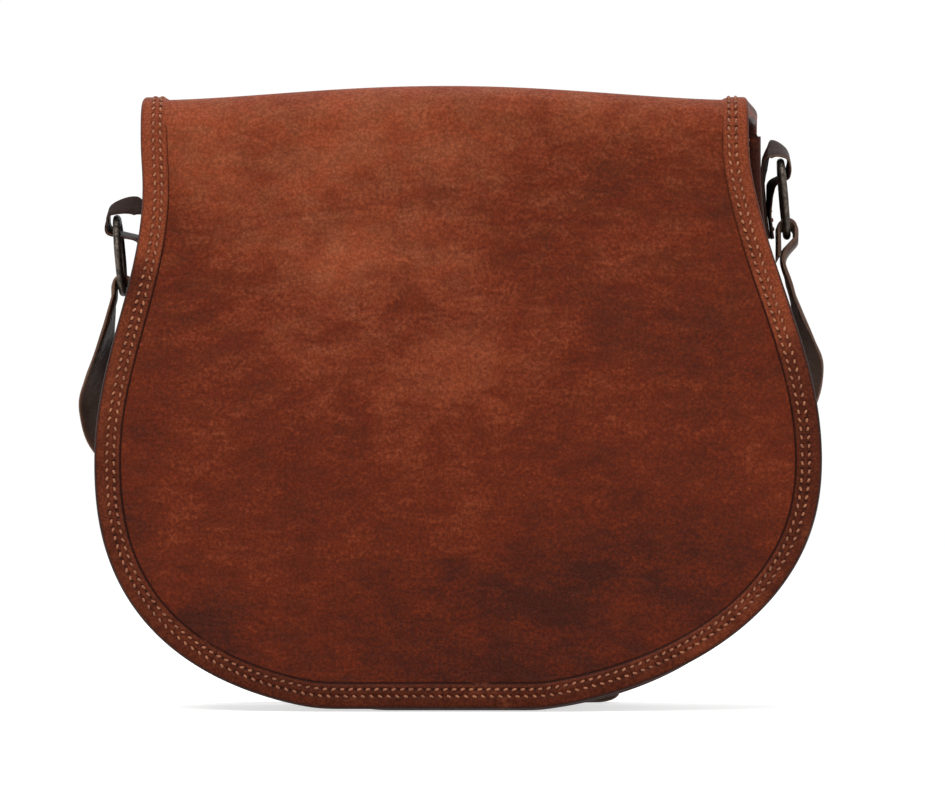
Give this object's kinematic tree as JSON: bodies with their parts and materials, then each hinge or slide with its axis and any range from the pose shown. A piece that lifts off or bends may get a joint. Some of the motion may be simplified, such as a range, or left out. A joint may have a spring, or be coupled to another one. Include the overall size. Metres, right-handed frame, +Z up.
{
  "type": "leather sling bag",
  "caption": "Small leather shoulder bag with a horseshoe flap, bound and stitched edges, side rings, a buckled strap and a zip pocket at the back.",
  "frame": {"origin": "middle of the flat of the gusset that the bag stands on", "axes": "+Z up, -Y towards the front of the flap, +X to the right seen from the front"},
  "size_m": [0.294, 0.1115, 0.2415],
  "materials": {
    "body_leather": "satin, vegetable tanned, mottled",
    "edge_leather": "satin, folded and stitched",
    "strap_leather": "satin, dark, flesh side grey brown",
    "suede_lining": "matt flesh side",
    "cloth_lining": "plain weave cotton",
    "zip_tape": "woven tape",
    "zip_metal": "aged",
    "snap_metal": "aged",
    "dark_iron": "antiqued dark"
  },
  "bodies": {
    "body": {"back_panel": "body_leather", "back_edge_binding": "edge_leather", "front_panel": "body_leather", "front_edge_binding": "edge_leather", "mouth_binding": "edge_leather", "gusset": "body_leather", "lining": "cloth_lining", "front_pocket": "body_leather", "pocket_binding": "edge_leather", "snap_socket": "snap_metal", "zip_tape_upper": "zip_tape", "zip_tape_lower": "zip_tape", "zip_teeth_upper": "zip_metal", "zip_teeth_lower": "zip_metal", "zip_pocket_bag": "cloth_lining", "tab_left": "strap_leather", "tab_right": "strap_leather"},
    "crown": {"flap_top": "body_leather", "flap_top_binding_left": "edge_leather", "flap_top_binding_right": "edge_leather"},
    "flap": {"flap_front": "body_leather", "flap_lining": "suede_lining", "flap_front_binding": "edge_leather", "snap_stud": "snap_metal"},
    "left_ring": {"ring_left": "dark_iron"},
    "right_ring": {"ring_right": "dark_iron"},
    "strap": {"strap_long": "strap_leather", "strap_short": "strap_leather", "buckle_frame": "dark_iron"},
    "prong": {"buckle_prong": "dark_iron"},
    "keeper": {"strap_keeper": "strap_leather"},
    "slider": {"zip_slider": "zip_metal"},
    "puller": {"zip_puller": "strap_leather"}
  },
  "joints": [
    {"name": "flap_lift", "type": "hinge", "parent": "body", "child": "crown", "pos_m": [0, 0.03193, 0.23193], "axis": [-1, 0, 0], "range_deg": [0, 110]},
    {"name": "flap_fold", "type": "hinge", "parent": "crown", "child": "flap", "pos_m": [0, -0.03949, 0.23849], "axis": [-1, 0, 0], "range_deg": [0, 80]},
    {"name": "left_ring_turn", "type": "hinge", "parent": "body", "child": "left_ring", "pos_m": [-0.13249, 0, 0.1765], "axis": [0.9964, 0, 0.0846], "continuous": true},
    {"name": "right_ring_turn", "type": "hinge", "parent": "body", "child": "right_ring", "pos_m": [0.12659, 0, 0.1985], "axis": [0.9964, 0, 0.0846], "continuous": true},
    {"name": "strap_swing", "type": "hinge", "parent": "body", "child": "strap", "pos_m": [-0.13249, 0, 0.1765], "axis": [0.9964, 0, 0.0846], "range_deg": [0, 70]},
    {"name": "prong_lift", "type": "hinge", "parent": "strap", "child": "prong", "pos_m": [0.018, 0.05, 0.027], "axis": [0, 1, 0], "range_deg": [0, 75]},
    {"name": "keeper_slide", "type": "slide", "parent": "strap", "child": "keeper", "axis": [1, 0, 0], "range_m": [0, 0.01]},
    {"name": "zip_slide", "type": "slide", "parent": "body", "child": "slider", "axis": [1, 0, 0], "range_m": [0, 0.148]},
    {"name": "puller_lift", "type": "hinge", "parent": "slider", "child": "puller", "pos_m": [-0.0741, 0.0361, 0.17], "axis": [1, 0, 0], "range_deg": [0, 140]}
  ]
}
